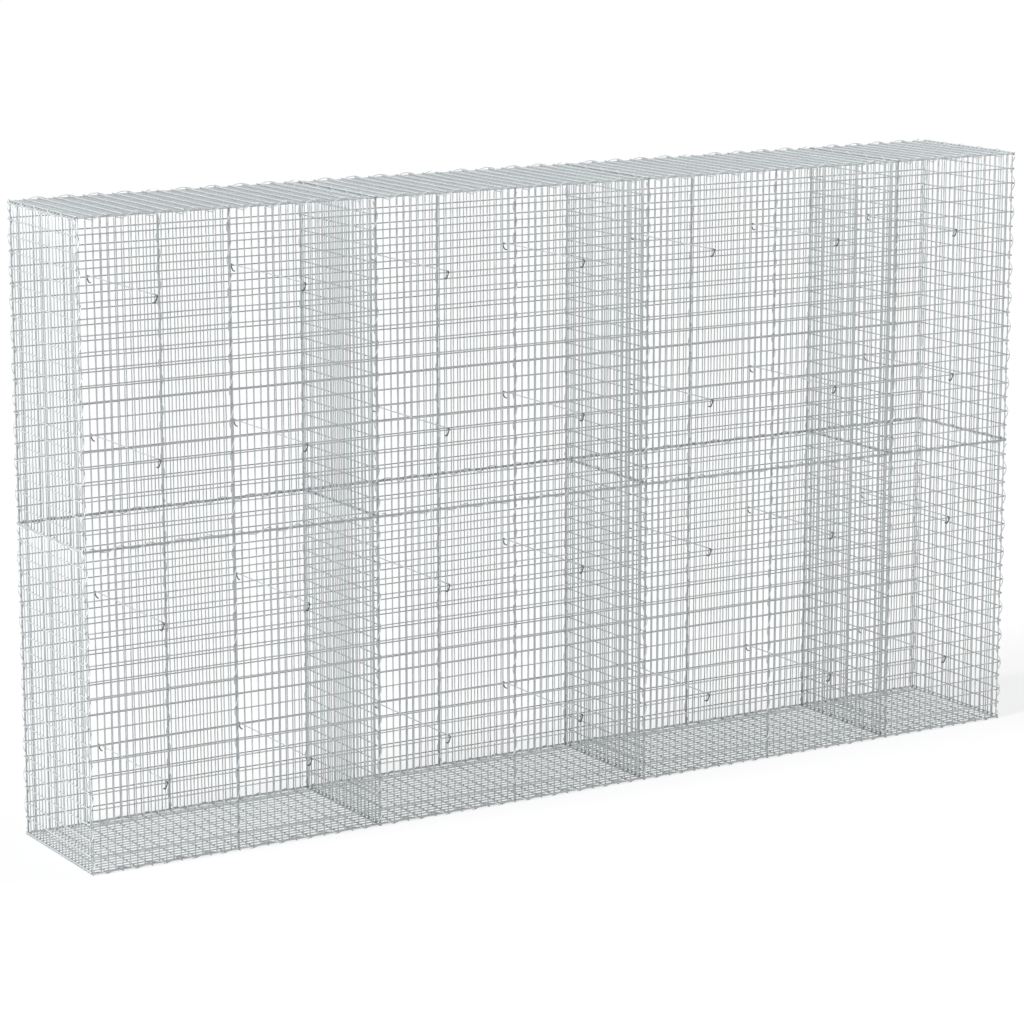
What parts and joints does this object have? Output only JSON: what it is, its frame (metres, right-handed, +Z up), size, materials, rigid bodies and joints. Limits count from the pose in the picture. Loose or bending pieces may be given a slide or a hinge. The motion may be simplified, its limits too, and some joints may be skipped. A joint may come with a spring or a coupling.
{
  "type": "gabion wall",
  "caption": "Free-standing empty gabion wall: a long, narrow two-tier cage of welded mesh panels bound by wire spirals, with floor, lid, partitions and tie wires.",
  "frame": {"origin": "middle of the underside, on the ground plane", "axes": "+X along the wall's length, +Y from front face to back face, +Z up"},
  "size_m": [3.5132, 0.512, 2.0051],
  "materials": {
    "wire_mesh": "hot-dip galvanised, matt grey",
    "tie_wire": "galvanised, slightly brighter",
    "spiral_wire": "galvanised spring wire, slightly darker"
  },
  "bodies": {
    "root": {"front_bay1_lower": "wire_mesh", "front_bay2_lower": "wire_mesh", "front_bay3_lower": "wire_mesh", "front_bay4_lower": "wire_mesh", "front_bay1_upper": "wire_mesh", "front_bay2_upper": "wire_mesh", "front_bay3_upper": "wire_mesh", "front_bay4_upper": "wire_mesh", "back_bay1_lower": "wire_mesh", "back_bay2_lower": "wire_mesh", "back_bay3_lower": "wire_mesh", "back_bay4_lower": "wire_mesh", "back_bay1_upper": "wire_mesh", "back_bay2_upper": "wire_mesh", "back_bay3_upper": "wire_mesh", "back_bay4_upper": "wire_mesh", "end_left_lower": "wire_mesh", "end_left_upper": "wire_mesh", "end_right_lower": "wire_mesh", "end_right_upper": "wire_mesh", "partition1_lower": "wire_mesh", "partition2_lower": "wire_mesh", "partition3_lower": "wire_mesh", "partition1_upper": "wire_mesh", "partition2_upper": "wire_mesh", "partition3_upper": "wire_mesh", "floor_bay1": "wire_mesh", "floor_bay2": "wire_mesh", "floor_bay3": "wire_mesh", "floor_bay4": "wire_mesh", "lid_bay1": "wire_mesh", "lid_bay2": "wire_mesh", "lid_bay3": "wire_mesh", "lid_bay4": "wire_mesh", "ties_level1": "tie_wire", "ties_level2": "tie_wire", "ties_level3": "tie_wire", "ties_level4": "tie_wire", "spirals_corners": "spiral_wire", "spirals_front_seams": "spiral_wire", "spirals_back_seams": "spiral_wire", "spirals_tier_joint": "spiral_wire", "spirals_lid": "spiral_wire", "spirals_floor": "spiral_wire"}
  },
  "joints": []
}
